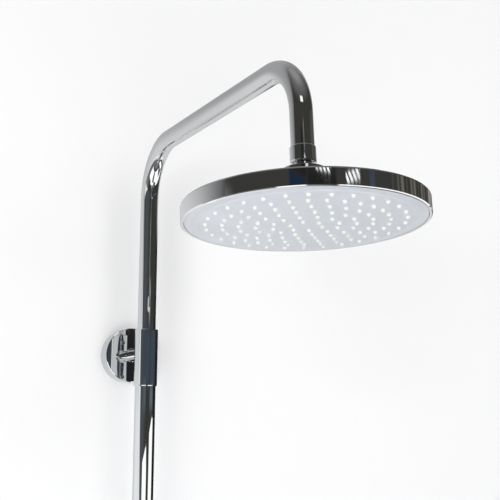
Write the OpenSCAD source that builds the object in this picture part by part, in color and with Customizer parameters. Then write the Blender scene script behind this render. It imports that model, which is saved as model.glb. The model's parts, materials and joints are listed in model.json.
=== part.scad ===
// Wall-mounted shower column top: a chrome riser on a wall bracket, a telescopic
// swan arm and a round rain head on a ball joint. Millimetres. The wall is the
// plane y = 0, y runs into the wall, z is up and z = 0 is the bracket's height.

/* [Riser tubes] */
// outside diameter of the upper tube and arm
tube_d = 22; // [18:0.5:28]
// wall thickness of both tubes
tube_wall = 1.2; // [0.8:0.1:2]
// outside diameter of the lower tube
lower_d = 25; // [22:0.5:32]
// distance from the wall to the riser's axis
riser_out = 70; // [55:1:100]
// height of the arm's axis above the bracket
arm_z = 253.8; // [220:1:400]
// length of the lower tube below the bracket
lower_drop = 250; // [236:1:900]
// length of the upper tube below the bracket
insert_drop = 150; // [130:1:200]

/* [Arm] */
// length of the straight run of the arm
arm_run = 262.3; // [180:0.1:360]
// bend radius between riser and arm
bend_low = 64; // [45:1:90]
// bend radius between arm and outlet
bend_high = 60; // [45:1:80]
// lean of the outlet away from the wall
outlet_lean = 4.5813; // [0:0.0001:12]
// length of the straight outlet after the upper bend
outlet_run = 32.9; // [28:0.1:80]

/* [Wall bracket] */
// rosette diameter
rosette_d = 68; // [56:1:80]
// rosette depth
rosette_h = 20; // [16:1:28]
// rosette wall
rosette_wall = 1.2; // [0.8:0.1:2]
// stem diameter
stem_d = 13.3; // [10:0.1:16]
// wall plate diameter
plate_d = 52; // [44:1:56]
// wall plate thickness
plate_t = 4; // [3:0.5:6]
// distance between the two wall screw holes
screw_gap = 36; // [32:1:40]
// wall screw hole diameter
screw_hole_d = 5.5; // [4:0.1:6]
// sleeve diameter
sleeve_d = 28; // [26:0.5:34]
// top of the sleeve above the stem
sleeve_up = 28.4; // [20:0.1:40]
// bottom of the sleeve below the stem
sleeve_down = 40.2; // [30:0.1:60]

/* [Head] */
// head diameter
head_d = 225; // [200:1:260]
// height of the rim band
rim_h = 16.6; // [12:0.1:24]
// height of the head's collar above the spray face
collar_s = 51.5; // [50:0.1:56]
// distance between two nozzle rings
ring_gap = 15.1; // [13.5:0.1:17]
// nozzles in one step of the pattern
ring_step = 6; // [4:1:8]
// nozzles in the outer ring
outer_count = 30; // [24:1:40]
// direction of the first nozzle of each ring
nozzle_start = 49.8; // [0:0.1:60]
// sag of the domed spray face
face_sag = 2.65; // [0:0.05:3]
// height of a nozzle above the face
nozzle_h = 2.3; // [1.5:0.1:3]
// nozzle radius at the face
nozzle_r = 2.05; // [1.5:0.05:2.4]

/* [Joint and nut] */
// ball radius
ball_r = 13; // [12.5:0.1:14]
// height of the ball's middle above the spray face
ball_s = 42; // [40:0.1:44]
// neck radius
neck_r = 9.2; // [8:0.1:9.4]
// union nut radius
nut_r = 12.15; // [12:0.05:14]
// underside of the union nut above the spray face
nut_s = 55.6; // [55:0.1:60]
// length of the union nut
nut_h = 15.6; // [14:0.1:18]
// radius of a half-inch pipe thread
thread_r = 10.35; // [10:0.05:10.5]

/* [Clearances] */
// running clearance between turning or sliding faces
run_gap = 0.05; // [0.02:0.01:0.1]
// clearance between fixed faces
fix_gap = 0.03; // [0:0.01:0.1]
// free air between parts that pass each other
free_gap = 0.3; // [0.3:0.05:0.5]

/* [Hidden] */
$fn = 96;
tube_r = tube_d / 2;
bore_r = tube_r - tube_wall;
lower_r = lower_d / 2;
lower_bore = lower_r - tube_wall;
stem_r = stem_d / 2;
sleeve_r = sleeve_d / 2;
head_r = head_d / 2;
bend_y = -riser_out - bend_low - arm_run;
tube_end_s = nut_s + nut_h + 0.3;
plug_r = lower_bore - fix_gap;
lip_r = neck_r + 0.25;
collar_r = thread_r - 0.15;
nut_bore = thread_r + 0.1;
seat_t = 1.35;
inner_seat_r = ball_r + run_gap;
outer_seat_r = inner_seat_r + seat_t + run_gap;
socket_r = outer_seat_r + seat_t + run_gap;
hub_bore = 17;
hub_r = 20.5;
hub_top = 48.5;
ring_seal_r = 0.95;
ring_seal_h = 4.4;
ring_seal_at = sqrt(pow(ball_r + run_gap + ring_seal_r, 2) - pow(ring_seal_h, 2));
plate_edge = head_r - 3.2;
rim_in = head_r - 2.9;
crown_r = head_r - 42.5;
groove_w = 12.6;
mat_edge = 6.1;
rings = floor((plate_edge - groove_w - mat_edge + 0.1) / ring_gap);
mat_r = rings * ring_gap + mat_edge;
mat_s = 2;
mat_t = 1;
back_s = 4;
screw_ring = mat_r + 3.6;
tip_end = lower_drop + 25;
// which piece is drawn

function ring_count(k) = k < rings ? k * ring_step : outer_count;
function dome(r) = -0.3 - face_sag * (1 - pow(r / (rings * ring_gap), 2));
function band(k) = k == 0 ? 0 : min(k - 0.5, rings - 0.5) * ring_gap + (k > rings ? ring_gap * 0.8 : 0);

// colours
chrome = [0.78, 0.79, 0.80];
brass = [0.72, 0.58, 0.32];
steel = [0.62, 0.63, 0.65];
black = [0.08, 0.08, 0.08];
white = [0.93, 0.93, 0.90];
pale = [0.80, 0.83, 0.87];

// puts its children on the outlet's axis, with the spray face at z = 0
module on_head() {
  at_bend()
    translate([0, -bend_high, -outlet_run - tube_end_s])
      children();
}

// puts its children at the middle of the upper bend, leaning like the outlet
module at_bend() {
  translate([0, bend_y, arm_z - bend_high])
    rotate([-outlet_lean, 0, 0])
      children();
}

// puts its children on the riser's axis
module on_riser() {
  translate([0, -riser_out, 0])
    children();
}

// a solid of revolution ring
module ring(ro, ri, h) {
  difference() {
    cylinder(r = ro, h = h);
    translate([0, 0, -1])
      cylinder(r = ri, h = h + 2);
  }
}

// a round rubber ring
module cord_ring(at_r, cord_r) {
  rotate_extrude()
    translate([at_r, 0])
      circle(r = cord_r);
}

// the path of the upper tube, filled to radius r, ends run past by more
module arm_path(r, more) {
  on_riser()
    translate([0, 0, -insert_drop - more])
      cylinder(r = r, h = insert_drop + more + arm_z - bend_low);
  translate([0, -riser_out - bend_low, arm_z - bend_low])
    intersection() {
      rotate([0, 90, 0])
        cord_ring(bend_low, r);
      translate([-r - 1, 0, 0])
        cube([2 * r + 2, bend_low + r + 1, bend_low + r + 1]);
    }
  translate([0, -riser_out - bend_low, arm_z])
    rotate([90, 0, 0])
      cylinder(r = r, h = arm_run);
  intersection() {
    at_bend()
      intersection() {
        rotate([0, 90, 0])
          cord_ring(bend_high, r);
        translate([-r - 1, -3 * bend_high, 0])
          cube([2 * r + 2, 6 * bend_high, 3 * bend_high]);
      }
    translate([-r - 1, bend_y - 2 * bend_high, arm_z - 2 * bend_high])
      cube([2 * r + 2, 2 * bend_high, 4 * bend_high]);
  }
  at_bend()
    translate([0, -bend_high, -outlet_run - more])
      cylinder(r = r, h = outlet_run + more);
}

module wall_plate() {
  color(steel)
    difference() {
      union() {
        rotate([90, 0, 0])
          cylinder(r = plate_d / 2, h = plate_t);
        rotate([90, 0, 0])
          cylinder(r = stem_r + 3.9, h = rosette_h - 4.5);
      }
      translate([0, -plate_t + 1, 0])
        rotate([90, 0, 0])
          cylinder(r = stem_r + fix_gap, h = rosette_h);
      for (side = [-1, 1])
        translate([side * screw_gap / 2, 1, 0])
          rotate([90, 0, 0])
            cylinder(d = screw_hole_d, h = plate_t + 2);
      translate([0, -rosette_h / 2, -stem_r - 6])
        cylinder(r = 2.5, h = 7);
    }
}

module riser_bracket() {
  color(chrome)
    difference() {
      union() {
        on_riser()
          translate([0, 0, -sleeve_down])
            rotate_extrude()
              polygon([[lower_r - 0.5, 0.6], [sleeve_r - 0.9, 0], [sleeve_r - 0.25, 0.25],
                       [sleeve_r, 0.9], [sleeve_r, sleeve_up + sleeve_down - 0.5],
                       [sleeve_r - 0.5, sleeve_up + sleeve_down],
                       [lower_r - 0.5, sleeve_up + sleeve_down]]);
        translate([0, -riser_out + lower_r, 0])
          rotate([-90, 0, 0])
            cylinder(r = stem_r, h = riser_out - lower_r - plate_t - 0.5);
        translate([0, -riser_out + sleeve_r - 1, 0])
          rotate([-90, 0, 0])
            cylinder(r1 = stem_r + 1.6, r2 = stem_r, h = 2.6);
      }
      on_riser()
        translate([0, 0, -sleeve_down - 1])
          cylinder(r = lower_r + fix_gap, h = sleeve_up + sleeve_down + 2);
      for (z = [-26, 18])
        translate([0, -riser_out, z])
          rotate([-90, 0, 0])
            cylinder(r = 2.5, h = sleeve_r + 2);
    }
}

// a headless screw with a hexagon socket, tip at z = 0
module set_screw(len) {
  difference() {
    union() {
      translate([0, 0, 0.6])
        cylinder(r = 2.45, h = len - 0.6);
      cylinder(r1 = 1.8, r2 = 2.45, h = 0.6);
    }
    translate([0, 0, len - 2.4])
      cylinder(r = 1.45, h = 3, $fn = 6);
  }
}

module stem_screw() {
  color(steel)
    translate([0, -rosette_h / 2, -stem_r - 0.02])
      rotate([180, 0, 0])
        set_screw(5);
}

module sleeve_screw() {
  color(steel)
    translate([0, -riser_out + lower_r + 0.02, -26])
      rotate([-90, 0, 0])
        set_screw(4.5);
}

module height_screw() {
  color(steel)
    translate([0, -riser_out + tube_r + 0.06, 18])
      rotate([-90, 0, 0])
        set_screw(5.5);
}

module top_liner() {
  color(white)
    on_riser()
      difference() {
        translate([0, 0, 8.3])
          ring(lower_r, tube_r + run_gap, sleeve_up - 8.3);
        translate([0, 0, 18])
          rotate([-90, 0, 0])
            cylinder(r = 2.55, h = sleeve_r);
      }
}

module lower_tube() {
  color(chrome)
    on_riser()
      translate([0, 0, -lower_drop])
        ring(lower_r, lower_bore, lower_drop + 8);
}

module tail_piece() {
  color(brass)
    on_riser()
      translate([0, 0, -lower_drop])
        rotate_extrude()
          polygon([[7, 12], [plug_r - 0.4, 12], [plug_r, 11.6], [plug_r, 0], [lower_r, 0],
                   [lower_r, -1.6], [lower_r - 0.4, -2], [neck_r, -2], [neck_r, -12],
                   [collar_r, -12], [collar_r, -14.5], [7, -14.5]]);
}

module inlet_washer() {
  color(black)
    on_riser()
      translate([0, 0, -lower_drop - 16.5])
        ring(collar_r, 6.5, 2);
}

module inlet_nut() {
  color(chrome)
    on_riser()
      difference() {
        intersection() {
          translate([0, 0, -tip_end])
            cylinder(r = 15.6, h = 17, $fn = 6);
          translate([0, 0, -tip_end])
            union() {
              cylinder(r1 = 14.2, r2 = 15.7, h = 0.9);
              translate([0, 0, 0.9])
                cylinder(r = 15.7, h = 15.2);
              translate([0, 0, 16.1])
                cylinder(r1 = 15.7, r2 = 14.2, h = 0.9);
            }
        }
        translate([0, 0, -tip_end - 1])
          cylinder(r = nut_bore, h = 10);
        translate([0, 0, -tip_end + 8.5])
          cylinder(r = nut_bore + 0.2, h = 4.5);
        translate([0, 0, -tip_end])
          cylinder(r = lip_r, h = 20);
      }
}

module rosette() {
  color(chrome)
    rotate([90, 0, 0])
      rotate_extrude()
        polygon([[rosette_d / 2 - rosette_wall, 0], [rosette_d / 2, 0], [rosette_d / 2, rosette_h - 1],
                 [rosette_d / 2 - 0.3, rosette_h - 0.3], [rosette_d / 2 - 1, rosette_h],
                 [stem_r + 1, rosette_h], [stem_r + 1, rosette_h - rosette_wall],
                 [rosette_d / 2 - rosette_wall, rosette_h - rosette_wall]]);
}

module rosette_bush() {
  color(chrome)
    rotate([90, 0, 0])
      rotate_extrude()
        polygon([[stem_r + run_gap, rosette_h - 2.6], [stem_r + 2.8, rosette_h - 2.6],
                 [stem_r + 2.8, rosette_h - rosette_wall], [stem_r + 0.98, rosette_h - rosette_wall],
                 [stem_r + 0.98, rosette_h], [stem_r + 1.9, rosette_h], [stem_r + 1.9, rosette_h + 1.2],
                 [stem_r + 1.5, rosette_h + 1.6], [stem_r + run_gap, rosette_h + 1.6]]);
}

module guide_bush() {
  color(white)
    on_riser()
      translate([0, 0, -insert_drop])
        difference() {
          rotate_extrude()
            polygon([[7.4, -26], [lower_bore - 0.6, -26], [lower_bore - run_gap, -25.4],
                     [lower_bore - run_gap, -0.5], [lower_bore - 0.5, -free_gap], [bore_r - 0.08, -free_gap],
                     [bore_r - 0.08, 11.5], [bore_r - 0.6, 12], [7.4, 12]]);
          for (z = [-18, -8])
            translate([0, 0, z])
              cord_ring(lower_bore - 1.05, 1.05);
          translate([0, 0, 6])
            cord_ring(bore_r - 0.85, 0.8);
        }
}

module bush_rings() {
  color(black)
    on_riser()
      for (z = [-18, -8])
        translate([0, 0, z - insert_drop])
          cord_ring(lower_bore - 1.04, 1);
}

module spigot_ring() {
  color(black)
    on_riser()
      translate([0, 0, 6 - insert_drop])
        cord_ring(bore_r - 0.85, 0.75);
}

module upper_tube() {
  color(chrome)
    difference() {
      arm_path(tube_r, 0);
      arm_path(bore_r, 1);
    }
}

module outlet_nipple() {
  color(brass)
    on_head()
      rotate_extrude()
        polygon([[7.5, nut_s + 6.5], [thread_r - 0.6, nut_s + 6.5], [thread_r, nut_s + 7.1],
                 [thread_r, tube_end_s], [bore_r - fix_gap, tube_end_s],
                 [bore_r - fix_gap, tube_end_s + 11.6], [bore_r - 0.5, tube_end_s + 12], [7.5, tube_end_s + 12]]);
}

module filter_washer() {
  color(black)
    on_head()
      translate([0, 0, nut_s + 4.5])
        difference() {
          ring(collar_r, 6.2, 2);
          translate([0, 0, 0.8])
            cylinder(r = 7.52, h = 0.4);
        }
}

module filter_mesh() {
  color(steel)
    on_head()
      translate([0, 0, nut_s + 5.3])
        difference() {
          cylinder(r = 7.5, h = 0.4);
          for (k = [1:3])
            for (i = [0:6 * k - 1])
              rotate([0, 0, i * 60 / k])
                translate([1.85 * k, 0, -1])
                  cylinder(r = 0.55, h = 3, $fn = 24);
        }
}

module flow_disc() {
  color(white)
    on_head()
      translate([0, 0, nut_s + 1.1])
        difference() {
          cylinder(r = 7 - fix_gap, h = 3);
          translate([0, 0, -1])
            cylinder(r = 1.5, h = 5);
          for (i = [0:5])
            rotate([0, 0, i * 60])
              translate([4.2, 0, -1])
                cylinder(r = 1.1, h = 5, $fn = 32);
        }
}

module ball_stem() {
  color(chrome)
    on_head()
      difference() {
        union() {
          translate([0, 0, ball_s])
            sphere(r = ball_r);
          translate([0, 0, ball_s])
            cylinder(r = neck_r, h = nut_s + 2 - ball_s);
          translate([0, 0, nut_s + 2])
            cylinder(r = collar_r, h = 2.5);
        }
        translate([0, 0, ball_s - 20])
          cylinder(r = 6, h = 60);
        translate([0, 0, nut_s + 1.1])
          cylinder(r = 7, h = 5);
        translate([0, 0, ball_s - ball_r - 1])
          cylinder(r = 9, h = 3.2);
      }
}

module union_nut() {
  color(chrome)
    on_head()
      rotate_extrude()
        polygon([[lip_r, nut_s + 1.1], [lip_r + 1, nut_s], [nut_r - 1.1, nut_s], [nut_r - 0.3, nut_s + 0.4],
                 [nut_r, nut_s + 1.2], [nut_r, nut_s + nut_h - 0.7], [nut_r - 0.6, nut_s + nut_h],
                 [nut_bore, nut_s + nut_h], [nut_bore, nut_s + 2], [lip_r, nut_s + 2]]);
}

// a spherical cup under the ball's middle with a water hole
module cup(ro, ri, rim_up) {
  difference() {
    sphere(r = ro);
    sphere(r = ri);
    translate([0, 0, rim_up])
      cylinder(r = ro + 1, h = ro + 1);
    translate([0, 0, -ro - 1])
      cylinder(r = 8, h = ro + 1);
  }
}

module inner_seat() {
  color(white)
    on_head()
      translate([0, 0, ball_s])
        cup(inner_seat_r + seat_t, inner_seat_r, 0.4);
}

module outer_seat() {
  color(steel)
    on_head()
      translate([0, 0, ball_s])
        cup(outer_seat_r + seat_t, outer_seat_r, 2.4);
}

module head_shell() {
  color(chrome)
    on_head()
      difference() {
        rotate_extrude()
          polygon([[0, 0], [head_r - 0.7, 0], [head_r, 0.7], [head_r, rim_h - 1.9], [head_r - 0.25, rim_h - 1.1],
                   [head_r - 0.9, rim_h - 0.35], [head_r - 2, rim_h], [head_r - 12, rim_h + 0.9],
                   [crown_r, rim_h + 4], [crown_r - 25, rim_h + 7], [hub_r + 13.5, rim_h + 9], [hub_r + 7.5, rim_h + 11.5],
                   [hub_r + 3.5, rim_h + 15.5], [hub_r + 1.1, rim_h + 20.5], [hub_r, rim_h + 26], [hub_r, hub_top], [0, hub_top]]);
        rotate_extrude()
          polygon([[0, -1], [rim_in, -1], [rim_in, back_s + 0.1], [rim_in - 3.6, back_s + 0.1],
                   [rim_in - 3.6, rim_h - 3.5], [rim_in - 9, rim_h - 1.6], [crown_r, rim_h + 1.6],
                   [crown_r - 25, rim_h + 4.4], [hub_r + 9.5, rim_h + 6.6], [0, rim_h + 6.6]]);
        translate([0, 0, ball_s + 3])
          cylinder(r = hub_bore, h = 20);
        translate([0, 0, ball_s])
          cylinder(r = socket_r, h = 20);
        translate([0, 0, ball_s])
          sphere(r = socket_r);
        translate([0, 0, 0])
          cylinder(r = 8, h = ball_s);
      }
}

module retaining_ring() {
  color(chrome)
    on_head()
      difference() {
        translate([0, 0, ball_s])
          rotate_extrude()
            polygon([[10.9, 3.1], [hub_bore - fix_gap, 3.1], [hub_bore - fix_gap, hub_top - ball_s],
                     [hub_r, hub_top - ball_s], [hub_r, hub_top - ball_s + 0.5], [hub_r - 0.5, hub_top - ball_s + 0.9],
                     [16.4, hub_top - ball_s + 1.1], [14.2, hub_top - ball_s + 1.6], [12.9, hub_top - ball_s + 2.3],
                     [12.5, collar_s - ball_s], [11.7, collar_s - ball_s], [10.9, 6.6]]);
        translate([0, 0, ball_s])
          sphere(r = ball_r + 0.1);
        translate([0, 0, ball_s + ring_seal_h])
          cord_ring(ring_seal_at, ring_seal_r + fix_gap);
      }
}

module ball_seal() {
  color(black)
    on_head()
      translate([0, 0, ball_s + ring_seal_h])
        cord_ring(ring_seal_at, ring_seal_r);
}

// every nozzle place, at the height given by the dome, which children read as $low
module each_nozzle() {
  for (k = [1:rings], i = [0:ring_count(k) - 1], $low = [dome(k * ring_gap)])
    rotate([0, 0, nozzle_start + i * 360 / ring_count(k)])
      translate([k * ring_gap, 0, $low])
        children();
}

module face_plate() {
  color(pale)
    on_head()
      difference() {
        rotate_extrude()
          polygon(concat([for (k = [0:rings + 1]) [band(k), dome(band(k))]],
                         [[mat_r + 0.2, 0.15], [mat_r + 1.6, 0.75], [mat_r + 3.8, 0.95], [mat_r + 6, 0.6],
                          [mat_r + 7.4, 0.15], [plate_edge - 0.4, 0.15], [plate_edge, 0.55], [plate_edge, back_s],
                          [mat_r + 0.3, back_s], [mat_r + 0.3, mat_s], [0, mat_s]]));
        each_nozzle()
          translate([0, 0, -2])
            cylinder(r = nozzle_r + 0.06, h = 12, $fn = 32);
        translate([0, 0, 2.4])
          cord_ring(plate_edge - 0.6, 1.02);
        for (i = [0:5])
          rotate([0, 0, i * 60])
            translate([screw_ring, 0, 1.9])
              cylinder(r = 1.45, h = 5, $fn = 32);
      }
}

module nozzle_mat() {
  color(white)
    on_head()
      difference() {
        union() {
          translate([0, 0, mat_s])
            cylinder(r = mat_r, h = mat_t);
          each_nozzle()
            translate([0, 0, -0.4])
              cylinder(r = nozzle_r, h = mat_s + mat_t - $low + 0.2, $fn = 32);
          each_nozzle()
            translate([0, 0, -nozzle_h + 0.5])
              cylinder(r1 = nozzle_r - 0.45, r2 = nozzle_r, h = nozzle_h - 0.9, $fn = 32);
          each_nozzle()
            translate([0, 0, -nozzle_h])
              cylinder(r1 = nozzle_r - 0.95, r2 = nozzle_r - 0.45, h = 0.5, $fn = 32);
        }
        each_nozzle()
          translate([0, 0, -nozzle_h - 1])
            cylinder(r = 0.5, h = 14, $fn = 24);
      }
}

module backing_plate() {
  color(white)
    on_head()
      difference() {
        union() {
          translate([0, 0, back_s])
            cylinder(r = screw_ring + 3.4, h = 2);
          translate([0, 0, mat_s + mat_t])
            ring(mat_r - 0.6, mat_r - 2.4, back_s - mat_s - mat_t + 0.5);
        }
        for (i = [0:11])
          rotate([0, 0, i * 30 + 15])
            translate([mat_r * 0.72, 0, 0])
              cylinder(r = 3.2, h = 20);
        for (i = [0:5])
          rotate([0, 0, i * 60])
            translate([mat_r * 0.36, 0, 0])
              cylinder(r = 3.2, h = 20);
        for (i = [0:5])
          rotate([0, 0, i * 60])
            translate([screw_ring, 0, 0])
              cylinder(r = 1.6, h = 20, $fn = 32);
      }
}

module mat_screws() {
  color(steel)
    on_head()
      for (i = [0:5])
        rotate([0, 0, i * 60])
          translate([screw_ring, 0, back_s + 2])
            difference() {
              union() {
                cylinder(r = 2.7, h = 1.8, $fn = 48);
                translate([0, 0, -4])
                  cylinder(r = 1.42, h = 4.5, $fn = 32);
              }
              translate([0, 0, 0.8])
                cylinder(r = 1.2, h = 2, $fn = 6);
            }
}

module face_gasket() {
  color(black)
    on_head()
      translate([0, 0, 2.4])
        cord_ring(plate_edge - 0.6, 0.88);
}

wall_plate();
riser_bracket();
stem_screw();
sleeve_screw();
height_screw();
top_liner();
lower_tube();
tail_piece();
inlet_washer();
inlet_nut();
rosette();
rosette_bush();
guide_bush();
bush_rings();
spigot_ring();
upper_tube();
outlet_nipple();
filter_washer();
filter_mesh();
flow_disc();
ball_stem();
union_nut();
inner_seat();
outer_seat();
head_shell();
retaining_ring();
ball_seal();
face_plate();
nozzle_mat();
backing_plate();
mat_screws();
face_gasket();
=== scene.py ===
"""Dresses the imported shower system: chrome, brass, steel, rubber, silicone and plastic finishes, a pale wall
and floor, and a soft studio light whose dark front and bright windows show in the chrome."""
import json
import math

import bpy
from mathutils import Matrix, Vector


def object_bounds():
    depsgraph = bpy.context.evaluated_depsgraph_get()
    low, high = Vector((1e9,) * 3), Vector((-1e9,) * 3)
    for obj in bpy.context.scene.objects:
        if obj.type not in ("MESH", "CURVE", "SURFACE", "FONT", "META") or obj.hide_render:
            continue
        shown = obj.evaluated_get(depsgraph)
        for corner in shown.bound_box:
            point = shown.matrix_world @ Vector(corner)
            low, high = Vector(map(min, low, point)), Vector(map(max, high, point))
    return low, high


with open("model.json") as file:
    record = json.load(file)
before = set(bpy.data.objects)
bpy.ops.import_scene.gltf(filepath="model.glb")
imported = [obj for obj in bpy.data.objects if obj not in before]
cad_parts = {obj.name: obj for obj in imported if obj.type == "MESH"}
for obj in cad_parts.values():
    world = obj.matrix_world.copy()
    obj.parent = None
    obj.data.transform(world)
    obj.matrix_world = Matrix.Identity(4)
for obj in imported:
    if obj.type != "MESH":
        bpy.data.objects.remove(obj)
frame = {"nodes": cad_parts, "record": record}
cad_low, cad_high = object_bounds()
scene = bpy.context.scene

# the room, in metres
RISER_Y = -0.07
WALL_GAP = 0.0006
WALL_Y = cad_high.y + WALL_GAP
WALL_LEFT, WALL_RIGHT, WALL_TOP = -1.85, 1.15, 1.7
FLOOR_Z = -0.95
FLOOR_SIDE, FLOOR_FRONT = 6.0, -7.0


# ---------------------------------------------------------------- node helpers

class Net:
    """A short way to build a node tree. A value or share is a socket or a number, and a colour is a socket or
    its red, green and blue."""

    def __init__(self, tree):
        self.tree = tree
        tree.nodes.clear()

    def node(self, kind, **values):
        made = self.tree.nodes.new(kind)
        for key, value in values.items():
            setattr(made, key, value)
        return made

    def plug(self, value, socket):
        """Links a socket, or sets a number or colour."""
        if isinstance(value, bpy.types.NodeSocket):
            self.tree.links.new(value, socket)
        elif isinstance(value, tuple):
            socket.default_value = (*value, 1.0)
        else:
            socket.default_value = value

    def place(self, kind="Object"):
        """x, y and z in the object's own metres, or of another texture coordinate."""
        parts = self.node("ShaderNodeSeparateXYZ")
        self.plug(self.node("ShaderNodeTexCoord").outputs[kind], parts.inputs[0])
        return parts.outputs

    def maths(self, operation, a, b=0.0, c=0.0, clamp=False):
        made = self.node("ShaderNodeMath", operation=operation, use_clamp=clamp)
        for socket, value in zip(made.inputs, (a, b, c)):
            self.plug(value, socket)
        return made.outputs[0]

    def minus(self, value):
        return self.maths("MULTIPLY", value, -1.0)

    def line(self, value, slope, start):
        return self.maths("MULTIPLY_ADD", value, slope, start)

    def product(self, *shares):
        made = shares[0]
        for share in shares[1:]:
            made = self.maths("MULTIPLY", made, share)
        return made

    def rest(self, share, clamp=False):
        """What the share leaves of 1."""
        return self.maths("SUBTRACT", 1.0, share, clamp=clamp)

    def step(self, value, edge, soft):
        """0 below the edge and 1 above it. soft is half the width of the change."""
        made = self.node("ShaderNodeMapRange", interpolation_type="SMOOTHSTEP")
        self.plug(value, made.inputs["Value"])
        made.inputs["From Min"].default_value = edge - soft
        made.inputs["From Max"].default_value = edge + soft
        return made.outputs[0]

    def band(self, value, low, low_soft, high, high_soft):
        """1 between two edges."""
        return self.maths("SUBTRACT", self.step(value, low, low_soft), self.step(value, high, high_soft))

    def around(self, value, middle, reach, soft):
        """1 within reach of the middle."""
        off = self.maths("ABSOLUTE", self.maths("ADD", value, -middle))
        return self.rest(self.step(off, reach, soft))

    def azimuth(self, x, y, middle_y=0.0):
        """Degrees about (0, middle_y): 0 is straight out of the wall and the left is positive."""
        ahead = self.maths("SUBTRACT", middle_y, y)
        return self.maths("DEGREES", self.maths("ARCTAN2", self.minus(x), ahead))

    def mix(self, share, a, b):
        """A colour mix, from a to b."""
        made = self.node("ShaderNodeMix", data_type="RGBA")
        self.plug(share, made.inputs[0])
        self.plug(a, made.inputs[6])
        self.plug(b, made.inputs[7])
        return made.outputs[2]

    def layers(self, colour, *over):
        """A colour with others laid over it, each as (share, colour)."""
        for share, next_colour in over:
            colour = self.mix(share, colour, next_colour)
        return colour

    def ramp(self, value, *stops):
        """A grey ramp through (place, grey) stops."""
        made = self.node("ShaderNodeValToRGB")
        bar = made.color_ramp
        while len(bar.elements) < len(stops):
            bar.elements.new(0.5)
        for element, (place, grey) in zip(bar.elements, stops):
            element.position = place
            element.color = (grey, grey, grey, 1.0)
        self.plug(value, made.inputs[0])
        return made.outputs[0]

    def noise(self, scale, detail, stretch=(1.0, 1.0, 1.0), roughness=0.5):
        """Noise in the object's own metres."""
        fit = self.node("ShaderNodeMapping")
        fit.inputs["Scale"].default_value = stretch
        self.plug(self.node("ShaderNodeTexCoord").outputs["Object"], fit.inputs["Vector"])
        made = self.node("ShaderNodeTexNoise")
        made.inputs["Scale"].default_value = scale
        made.inputs["Detail"].default_value = detail
        made.inputs["Roughness"].default_value = roughness
        self.plug(fit.outputs[0], made.inputs["Vector"])
        return made.outputs[0]

    def bump(self, height, strength, distance):
        made = self.node("ShaderNodeBump")
        made.inputs["Strength"].default_value = strength
        made.inputs["Distance"].default_value = distance
        self.plug(height, made.inputs["Height"])
        return made.outputs[0]

    def glow(self, colour, strength=1.0):
        made = self.node("ShaderNodeEmission")
        self.plug(colour, made.inputs["Color"])
        self.plug(strength, made.inputs["Strength"])
        return made.outputs[0]

    def mix_shaders(self, share, a, b):
        made = self.node("ShaderNodeMixShader")
        for socket, value in zip(made.inputs, (share, a, b)):
            self.plug(value, socket)
        return made.outputs[0]


def new_material(name):
    """A material and the Net of its empty node tree."""
    made = bpy.data.materials.new(name)
    made.use_nodes = True
    return made, Net(made.node_tree)


# ------------------------------------------------------------------- finishes

def finish(name, colour, far_colour, rough, patch, grain, metallic=0.0, stretch=(1.0, 1.0, 1.0), **extra):
    """A material whose colour and roughness drift with noise. rough is (low, high), patch the drift's scale
    and grain (scale, strength, depth) the fine relief. extra sets further sockets of the shader by name."""
    made, net = new_material(name)
    shader = net.node("ShaderNodeBsdfPrincipled")
    net.plug(shader.outputs[0], net.node("ShaderNodeOutputMaterial").inputs[0])
    drift = net.ramp(net.noise(patch, detail=3.0, stretch=stretch), (0.35, 0.0), (0.65, 1.0))
    net.plug(net.mix(drift, colour, far_colour), shader.inputs["Base Color"])
    low, high = rough
    small_patch = patch * 6.0
    spots = net.noise(small_patch, detail=4.0, stretch=stretch, roughness=0.6)
    spots = net.ramp(spots, (0.4, 0.0), (0.7, 1.0))
    net.plug(net.line(spots, high - low, low), shader.inputs["Roughness"])
    shader.inputs["Metallic"].default_value = metallic
    scale, strength, depth = grain
    relief = net.noise(scale, detail=2.0, stretch=stretch)
    net.plug(net.bump(relief, strength, depth), shader.inputs["Normal"])
    for socket, value in extra.items():
        shader.inputs[socket.replace("_", " ")].default_value = value
    return made


FINISH_OF_SLOT = {
    "chrome": finish(
        "polished_chrome", (0.80, 0.81, 0.82), (0.84, 0.845, 0.85),
        rough=(0.018, 0.05), patch=9.0, grain=(14.0, 0.02, 0.0006), metallic=1.0),
    "brass": finish(
        "machined_brass", (0.78, 0.60, 0.30), (0.70, 0.52, 0.24),
        rough=(0.16, 0.30), patch=60.0, grain=(900.0, 0.15, 0.00004), metallic=1.0, stretch=(1.0, 1.0, 6.0)),
    "steel": finish(
        "brushed_steel", (0.62, 0.63, 0.65), (0.54, 0.55, 0.57),
        rough=(0.20, 0.38), patch=50.0, grain=(1400.0, 0.25, 0.00004), metallic=1.0, stretch=(8.0, 1.0, 1.0)),
    "black_rubber": finish(
        "black_rubber", (0.022, 0.022, 0.023), (0.04, 0.04, 0.04),
        rough=(0.5, 0.75), patch=80.0, grain=(2600.0, 0.3, 0.00006)),
    "white_silicone": finish(
        "white_silicone", (0.90, 0.895, 0.86), (0.865, 0.86, 0.825),
        rough=(0.34, 0.52), patch=120.0, grain=(2200.0, 0.12, 0.00004), Subsurface_Weight=0.08),
    "white_plastic": finish(
        "white_plastic", (0.86, 0.86, 0.84), (0.82, 0.82, 0.80),
        rough=(0.35, 0.5), patch=40.0, grain=(1500.0, 0.1, 0.00003)),
    "grey_face": finish(
        "grey_face_plastic", (0.67, 0.70, 0.745), (0.705, 0.73, 0.77),
        rough=(0.42, 0.50), patch=16.0, grain=(300.0, 0.02, 0.00002), stretch=(1.0, 2.6, 1.0),
        Specular_IOR_Level=0.3),
}
slot_of = {row["node"]: row["material_slot"] for row in frame["record"]["subparts"]}
for name, obj in frame["nodes"].items():
    obj.data.materials.clear()
    obj.data.materials.append(FINISH_OF_SLOT[slot_of[name]])


# -------------------------------------------------------------- wall and floor

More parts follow.
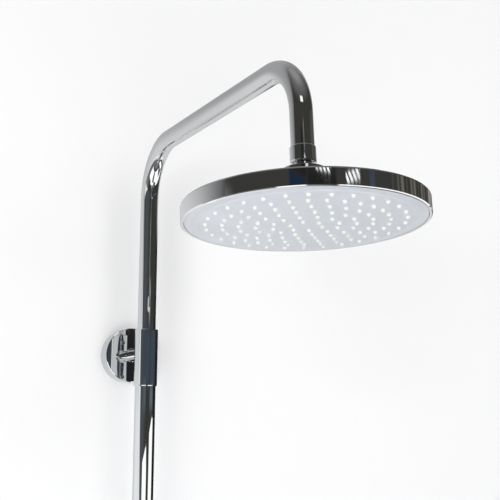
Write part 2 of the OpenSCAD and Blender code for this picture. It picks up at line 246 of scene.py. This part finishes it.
def matt_paint(net, colour, drift, painted_light_share=0.0):
    """Diffuse paint whose tone drifts a little over a metre. Its last argument is the share of a nearly white
    coat: painted light that pales the paint where a cast shadow falls.
    """
    darker = tuple(c * (1.0 - drift) for c in colour)
    tone = net.mix(net.noise(0.9, detail=1.0), darker, colour)
    matt = net.node("ShaderNodeBsdfDiffuse")
    net.plug(net.mix(painted_light_share, tone, (0.935, 0.935, 0.938)), matt.inputs["Color"])
    return matt.outputs[0]


def end_with(net, shader, clear):
    """Ends a material with its shader, and with nothing where clear is 1."""
    nothing = net.node("ShaderNodeBsdfTransparent").outputs[0]
    net.plug(net.mix_shaders(clear, shader, nothing), net.node("ShaderNodeOutputMaterial").inputs[0])


def wall_finish():
    """White paint, painted a shade paler round the lower tube to lighten the riser's shadow there: painted
    light. Metal sees it as the photograph's metal does: pale at the bracket, greyer up by the arm and dark in
    the room's corner, a painted reflection that the wall glows with for glossy rays alone. A view from behind
    looks through it."""
    made, net = new_material("wall_paint")
    across, _, up = net.place()
    down = net.minus(up)
    # painted light: the paint pales round the lower tube, where the riser casts its shadow
    painted_light_share = net.product(net.around(across, 0.025, 0.05, 0.04), net.step(down, -0.03, 0.08))
    paint = matt_paint(net, (0.815, 0.815, 0.818), drift=0.015, painted_light_share=painted_light_share)

    # painted reflection: the tones below are what the wall glows with for glossy rays alone
    low_left = net.product(net.step(down, 0.05, 0.06), net.step(net.minus(across), 0.08, 0.03))
    far_down = net.mix(net.step(across, -0.45, 0.2), (0.28, 0.28, 0.285), (0.50, 0.505, 0.51))
    far_left = net.rest(net.maths("MAXIMUM", net.line(across, 0.5, 1.125), 0.25), clamp=True)
    corner = net.mix(net.step(up, 0.27, 0.12), (0.06, 0.058, 0.055), (0.30, 0.29, 0.28))
    painted_riser_shade = net.product(net.around(across, 0.015, 0.05, 0.04), net.band(up, -0.02, 0.02, 0.13, 0.04))
    low_right = net.product(net.band(up, -0.15, 0.02, -0.03, 0.015), net.step(across, 0.09, 0.02))
    low_right_tone = net.mix(net.step(across, 0.36, 0.12), (0.94, 0.94, 0.945), (0.76, 0.76, 0.765))
    slanting = net.around(net.line(across, 1.79, up), 0.09, 0.035, 0.015)
    painted_sunlit_patch = net.product(net.band(across, 0.13, 0.015, 0.24, 0.015), slanting)
    tone = net.layers(
        (0.69, 0.70, 0.71),
        (low_left, (0.90, 0.92, 0.94)),
        # greyer with height, and far down too
        (net.step(up, 0.26, 0.11), (0.435, 0.44, 0.44)),
        (net.step(up, 0.38, 0.06), (0.385, 0.39, 0.39)),
        (net.step(up, 1.2, 0.5), (0.26, 0.26, 0.26)),
        (net.step(down, 0.33, 0.05), far_down),
        # it fades towards the far left, and the room's corner is on the right
        (net.product(net.step(up, 0.02, 0.06), far_left), (0.0, 0.0, 0.0)),
        (net.step(across, 0.235, 0.03), corner),
        # a painted reflection of the riser's own shade, a painted pale band and a painted bright patch that
        # gives the sleeve's glints
        (painted_riser_shade, (0.53, 0.535, 0.54)),
        (low_right, low_right_tone),
        (painted_sunlit_patch, (2.2, 2.2, 2.2)))
    # metal sees the wall as a glow of these painted tones, everything else sees the paint
    in_metal = net.node("ShaderNodeLightPath").outputs["Is Glossy Ray"]
    behind = net.node("ShaderNodeNewGeometry").outputs["Backfacing"]
    end_with(net, net.mix_shaders(in_metal, paint, net.glow(tone)), behind)
    return made


def floor_finish():
    """Pale paint, a little brighter for the camera alone. Metal sees the room's own floor in its place, and a
    view from below looks through it."""
    lift = 0.24
    made, net = new_material("floor_paint")
    light = net.node("ShaderNodeLightPath")
    bright = net.node("ShaderNodeAddShader")
    net.plug(matt_paint(net, (0.88, 0.88, 0.885), drift=0.03), bright.inputs[0])
    strength = net.maths("MULTIPLY", light.outputs["Is Camera Ray"], lift)
    net.plug(net.glow((1.0, 1.0, 1.0), strength), bright.inputs[1])
    behind = net.node("ShaderNodeNewGeometry").outputs["Backfacing"]
    end_with(net, bright.outputs[0], net.maths("ADD", behind, light.outputs["Is Glossy Ray"], clamp=True))
    return made


def stage_mesh(name, corners, faces, made_of):
    """A sheet of the room round the object."""
    mesh = bpy.data.meshes.new(name)
    mesh.from_pydata(corners, [], faces)
    mesh.materials.append(made_of)
    made = bpy.data.objects.new(name, mesh)
    scene.collection.objects.link(made)
    return made


ONE_FACE = [(0, 1, 2, 3)]
stage_mesh("wall", [(WALL_LEFT, WALL_Y, FLOOR_Z), (WALL_RIGHT, WALL_Y, FLOOR_Z),
                    (WALL_RIGHT, WALL_Y, WALL_TOP), (WALL_LEFT, WALL_Y, WALL_TOP)], ONE_FACE, wall_finish())
stage_mesh("floor", [(-FLOOR_SIDE, FLOOR_FRONT, FLOOR_Z), (FLOOR_SIDE, FLOOR_FRONT, FLOOR_Z),
                     (FLOOR_SIDE, WALL_Y, FLOOR_Z), (-FLOOR_SIDE, WALL_Y, FLOOR_Z)], ONE_FACE, floor_finish())


# ------------------------------------------------------ glowing cards seen only in metal, as painted reflections

def only_in_metal(card):
    card.visible_camera = card.visible_diffuse = card.visible_transmission = card.visible_shadow = False


def glare_finish():
    """Window light on two pale things, one on each side of the riser, painted as a glow that only metal sees:
    painted highlights. They span azimuths -9 to 34 and -80 to -36 near their tops, and 13 to 66 and -62 to -8
    far down. Elsewhere the card is clear."""
    made, net = new_material("glare")
    x, y, up = net.place()
    turn = net.azimuth(x, y, RISER_Y)
    near_top = net.step(up, -0.29, 0.03)
    side_soft, top_soft = 1.5, 0.002

    def by_height(low, high):
        """One azimuth far down and another near the top."""
        return net.line(near_top, net.maths("SUBTRACT", high, low), low)

    def thing(right, left, top):
        """1 between two azimuths and below the top."""
        return net.product(net.step(net.maths("SUBTRACT", turn, right), 0.0, side_soft),
                           net.step(net.maths("SUBTRACT", left, turn), 0.0, side_soft),
                           net.rest(net.step(up, top, top_soft)))

    left_one = thing(
        right=by_height(13.0, net.maths("MAXIMUM", net.line(up, 90.0, 8.0), -9.0)),
        left=net.maths("MINIMUM", net.line(up, -1000.0, -130.0), by_height(66.0, 34.0)),
        top=-0.133)
    right_one = thing(
        right=by_height(-62.0, net.line(up, 130.0, -70.4)),
        left=net.maths("MINIMUM", net.line(up, -900.0, -130.5), by_height(-8.0, -36.0)),
        top=-0.075)
    shown = net.maths("ADD", left_one, right_one, clamp=True)
    end_with(net, net.glow((1.25, 1.25, 1.25)), net.rest(shown))
    return made


def glare_card():
    """A round card low in front, about the riser, that glows in metal alone and paints its highlights."""
    reach, bottom, top = 0.9, -1.2, -0.06
    first, last, steps = -97.0, 72.0, 42
    corners = []
    for i in range(steps + 1):
        turn = math.radians(first + (last - first) * i / steps)
        corners += [(-reach * math.sin(turn), RISER_Y - reach * math.cos(turn), up) for up in (bottom, top)]
    faces = [(2 * i, 2 * i + 2, 2 * i + 3, 2 * i + 1) for i in range(steps)]
    only_in_metal(stage_mesh("glare", corners, faces, glare_finish()))


def shade_card():
    """The room's dark right side, as a narrow dark glowing strip close to the riser that only metal sees: a
    painted dark reflection along the riser's right edge. It ends softly above the bracket.
    """
    made, net = new_material("shade")
    up = net.place()[2]
    tone = net.mix(net.step(up, 0.05, 0.05), (0.016, 0.017, 0.019), (0.034, 0.034, 0.033))
    end_with(net, net.glow(tone), net.step(up, 0.15, 0.025))
    x, front, back, bottom, top = 0.018, -0.083, -0.058, -0.45, 0.175
    corners = [(x, front, bottom), (x, back, bottom), (x, back, top), (x, front, top)]
    only_in_metal(stage_mesh("shade", corners, ONE_FACE, made))


glare_card()
shade_card()


# ----------------------------------------------------------------------- light

def room_light():
    """The world: plain pale for the camera and for soft light, and for what shows in metal the room's dark
    front, its windows and its paler left side, ceiling and floor."""
    world = bpy.data.worlds.new("room")
    scene.world = world
    world.use_nodes = True
    net = Net(world.node_tree)
    x, y, z = net.place("Generated")
    turn = net.azimuth(x, y)
    height = net.maths("MINIMUM", net.maths("MAXIMUM", z, -1.0), 1.0)
    rise = net.maths("DEGREES", net.maths("ARCSINE", height))
    fall = net.minus(rise)

    def patch(a0, a1, e0, e1, a_soft, e_soft):
        """1 inside a window of azimuth a0..a1 and rise e0..e1, in degrees."""
        return net.product(net.band(turn, a0, a_soft, a1, a_soft), net.band(rise, e0, e_soft, e1, e_soft))

    # uneven vertical streaks, 0 to 1
    wide = net.maths("SINE", net.line(turn, 0.37, 1.38))
    narrow = net.maths("SINE", net.line(turn, 1.0, 0.6))
    streaks = net.maths("MULTIPLY_ADD", net.maths("ADD", narrow, wide), 0.5, 0.25, clamp=True)
    # a round spot almost straight below
    aside = net.maths("ADD", x, 0.06)
    off = net.maths("SQRT", net.maths("ADD", net.product(aside, aside), net.product(y, y)))
    below = net.product(net.step(fall, 70.0, 5.0), net.rest(net.step(off, 0.075, 0.02)))
    # the left side of the room leans away with height
    lean = net.line(net.maths("MAXIMUM", rise, 0.0), -1.6, turn)
    lean = net.line(net.maths("MINIMUM", net.maths("MAXIMUM", rise, -5.0), 0.0), -2.8, lean)
    side = net.product(net.step(lean, 71.5, 3.5), net.rest(net.step(rise, 15.0, 2.0)))
    side_tone = net.layers(
        (0.90, 0.91, 0.92),
        (net.step(rise, 9.0, 5.0), (0.38, 0.39, 0.39)),
        (net.step(fall, 6.5, 1.5), (0.17, 0.17, 0.172)))
    # windows: a near and a far one with curved bars, and one high up
    bars = net.maths("SINE", net.maths("MULTIPLY", net.line(rise, -5.0, turn), 1.75))
    bars = net.maths("GREATER_THAN", bars, -0.3)
    near = net.product(patch(-20.5, -7.0, 21.6, 22.25, 0.6, 0.1), bars)
    far = net.product(patch(7.0, 20.5, 22.3, 23.2, 0.8, 0.15), bars)
    high = patch(5.0, 31.0, 36.5, 45.5, 3.0, 1.5)
    windows = net.maths("ADD", net.maths("ADD", near, far), high, clamp=True)
    room = net.layers(
        (0.046, 0.045, 0.041),
        # the ceiling grows pale overhead
        (net.step(rise, 45.0, 12.0), (0.13, 0.13, 0.128)),
        (net.step(rise, 68.0, 14.0), (0.29, 0.29, 0.288)),
        # greys of the room's front, bluer near the horizon
        (patch(26.0, 80.0, -6.0, 14.0, 18.0, 3.0), (0.078, 0.084, 0.092)),
        (patch(-8.0, 3.0, 7.0, 14.0, 5.0, 1.5), (0.11, 0.115, 0.11)),
        (patch(-84.0, 56.0, 1.9, 5.2, 9.0, 0.6), (0.054, 0.068, 0.090)),
        (patch(-22.5, -18.0, 0.5, 5.8, 0.8, 0.6), (0.036, 0.035, 0.034)),
        (patch(14.0, 44.0, 0.6, 2.2, 4.0, 0.5), (0.095, 0.115, 0.135)),
        (patch(-70.0, -32.0, 0.7, 1.9, 5.0, 0.4), (0.130, 0.165, 0.200)),
        (patch(-21.0, -4.0, 5.6, 7.6, 4.0, 0.7), (0.330, 0.340, 0.340)),
        (patch(-102.0, -80.0, -6.0, 8.0, 5.0, 2.0), (0.026, 0.027, 0.030)),
        # a dark blue door with black over it, a black and a grey-blue one, brown shelves and a pale bar
        (patch(28.5, 44.0, 19.0, 21.4, 1.2, 0.4), (0.010, 0.026, 0.056)),
        (patch(28.5, 44.0, 21.4, 24.0, 1.2, 0.4), (0.018, 0.018, 0.018)),
        (patch(2.0, 28.0, 19.0, 22.6, 1.2, 1.0), (0.018, 0.018, 0.017)),
        (patch(-35.5, -30.0, 18.5, 21.6, 1.0, 0.5), (0.055, 0.070, 0.100)),
        (net.product(patch(-116.0, -56.0, 12.5, 23.0, 3.0, 1.5), streaks), (0.165, 0.15, 0.13)),
        (patch(12.5, 18.0, 23.5, 25.2, 0.8, 0.3), (0.24, 0.24, 0.235)),
        # the floor, with two small bright things: the spot below, and one low on the right
        (net.step(fall, 66.0, 5.0), (0.20, 0.20, 0.20)),
        (below, (2.4, 2.4, 2.4)),
        (patch(-106.0, -84.0, -67.0, -38.0, 3.0, 2.0), (2.4, 2.4, 2.4)),
        (side, side_tone),
        (windows, (1.25, 1.28, 1.3)))

    light = net.node("ShaderNodeLightPath")
    pale, soft = (0.95, 0.95, 0.95), (0.50, 0.502, 0.506)
    back = net.node("ShaderNodeBackground")
    seen = net.layers(
        soft,
        (light.outputs["Is Camera Ray"], pale),
        (light.outputs["Is Transmission Ray"], pale),
        (light.outputs["Is Glossy Ray"], room))
    net.plug(seen, back.inputs["Color"])
    net.plug(back.outputs[0], net.node("ShaderNodeOutputWorld").inputs[0])


def lamp(kind, name, place, aim, power, **values):
    """A lamp that neither the camera nor metal sees."""
    data = bpy.data.lights.new(name, kind)
    data.energy = power
    for key, value in values.items():
        setattr(data, key, value)
    made = bpy.data.objects.new(name, data)
    made.location = place
    made.rotation_euler = (Vector(aim) - Vector(place)).to_track_quat("-Z", "Y").to_euler()
    made.visible_glossy = False
    made.visible_camera = False
    scene.collection.objects.link(made)


room_light()
# a wide soft light from the front, another from the left, and a soft fill from low in front
BRACKET, UNDER_HEAD = (0.0, 0.0, 0.0), (0.0, -0.45, 0.1)
lamp("SUN", "key", (0.3, -2.0, 0.35), BRACKET, 0.92, angle=math.radians(40.0))
lamp("SUN", "left", (-1.33, -1.49, 0.06), BRACKET, 1.15, angle=math.radians(24.0))
lamp("AREA", "fill", (-0.3, -1.3, -0.88), UNDER_HEAD, 13.0, shape="DISK", size=1.6)


# --------------------------------------------------------------------- camera

def aim_camera():
    """The photograph's place, heading and lens, from a fit of the tubes, rims and nozzles."""
    place = Vector((-0.44825, -1.25172, -0.08265))
    yaw, pitch, roll = 0.4624, 0.1662, 0.0070
    focal_px, frame_px, sensor_mm = 1027.5, 500.0, 36.0
    ahead = Vector((math.sin(yaw) * math.cos(pitch), math.cos(yaw) * math.cos(pitch), math.sin(pitch)))
    side = Vector((math.cos(yaw), -math.sin(yaw), 0.0))
    up = side.cross(ahead)
    right = side * math.cos(roll) + up * math.sin(roll)
    up = up * math.cos(roll) - side * math.sin(roll)
    data = bpy.data.cameras.new("camera")
    data.sensor_width = sensor_mm
    data.lens = sensor_mm * focal_px / frame_px
    data.clip_start, data.clip_end = 0.05, 50.0
    made = bpy.data.objects.new("camera", data)
    made.matrix_world = Matrix.Translation(place) @ Matrix((right, up, -ahead)).transposed().to_4x4()
    scene.collection.objects.link(made)
    scene.camera = made


aim_camera()
scene.view_settings.view_transform = "Standard"
